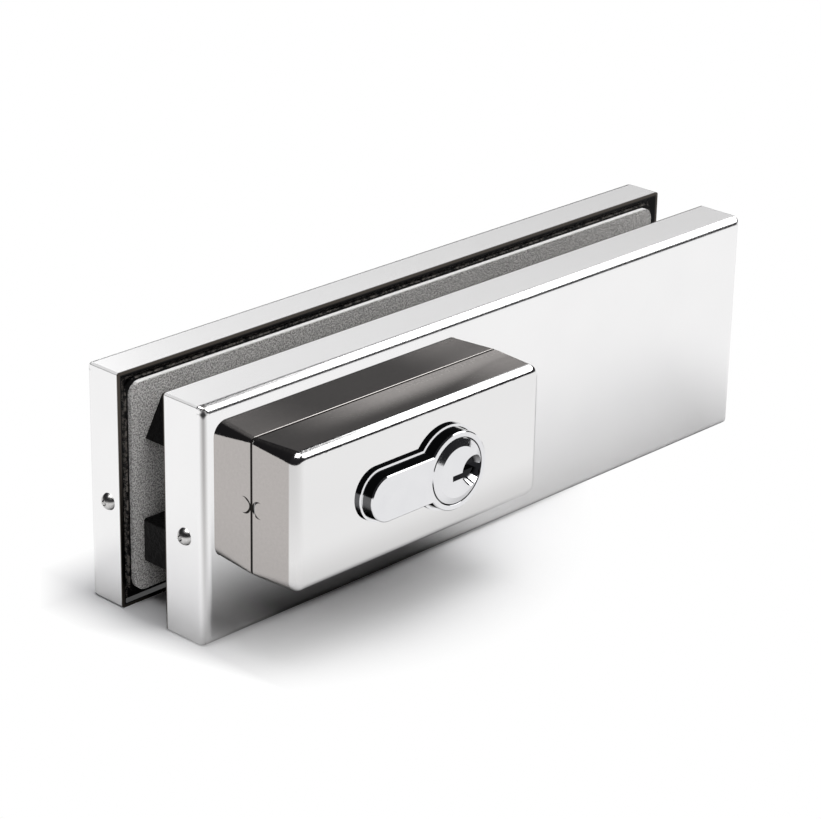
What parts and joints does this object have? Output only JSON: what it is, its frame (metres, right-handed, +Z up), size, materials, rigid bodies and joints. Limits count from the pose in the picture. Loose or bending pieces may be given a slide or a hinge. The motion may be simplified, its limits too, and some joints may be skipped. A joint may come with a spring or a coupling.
{
  "type": "glass door lock",
  "caption": "Patch lock clamped to the corner edge of a glass door, with a raised housing for a profile cylinder and a bolt at the end.",
  "frame": {"origin": "middle of the lock's length, middle of the glass thickness, height of the covers' lower long edges", "axes": "+X along the lock away from the bolt end, +Y from the cylinder side through the glass, +Z up, across the covers' height"},
  "size_m": [0.1738, 0.0639, 0.0528],
  "materials": {
    "stainless": "polished",
    "stainless_screws": "polished",
    "satin_nickel": "satin nickel plate",
    "black_casting": "rough, black paint",
    "alloy_casting": "as cast",
    "fibre_gasket": "pressed fibre sheet, speckled",
    "steel_screws": "black oxide",
    "bolt_steel": "satin nickel plate",
    "cam_steel": "plain",
    "spring_steel": "bright",
    "brass_pins": "turned"
  },
  "bodies": {
    "lock": {"front_cover": "stainless", "rear_cover": "stainless", "housing_collar": "stainless", "housing_cap": "stainless", "housing_core": "alloy_casting", "housing_core_screws": "steel_screws", "cylinder_sleeve": "satin_nickel", "cylinder_body": "satin_nickel", "driver_pins": "brass_pins", "pin_springs": "spring_steel", "chamber_plugs": "brass_pins", "cylinder_fixing_screw": "steel_screws", "lock_core": "black_casting", "core_cover": "cam_steel", "core_cover_screws": "steel_screws", "bolt_spring": "spring_steel", "front_clamp_plate": "black_casting", "rear_clamp_plate": "black_casting", "clamp_screws": "steel_screws", "front_gasket": "fibre_gasket", "rear_gasket": "fibre_gasket", "cover_screws": "stainless_screws"},
    "rotor": {"cylinder_plug": "satin_nickel", "cylinder_cam": "cam_steel", "cam_circlip": "spring_steel", "key_pins": "brass_pins"},
    "bolt": {"bolt": "bolt_steel"}
  },
  "joints": [
    {"name": "cylinder_turn", "type": "hinge", "parent": "lock", "child": "rotor", "pos_m": [-0.0411, -0.001, 0.03475], "axis": [0, 1, 0], "range_deg": [0, 360]},
    {"name": "bolt_slide", "type": "slide", "parent": "lock", "child": "bolt", "axis": [-1, 0, 0], "range_m": [0, 0.021]}
  ],
  "couplings": [
    {"joint": "bolt_slide", "follows": "cylinder_turn", "m_per_rad": 0.003342}
  ]
}
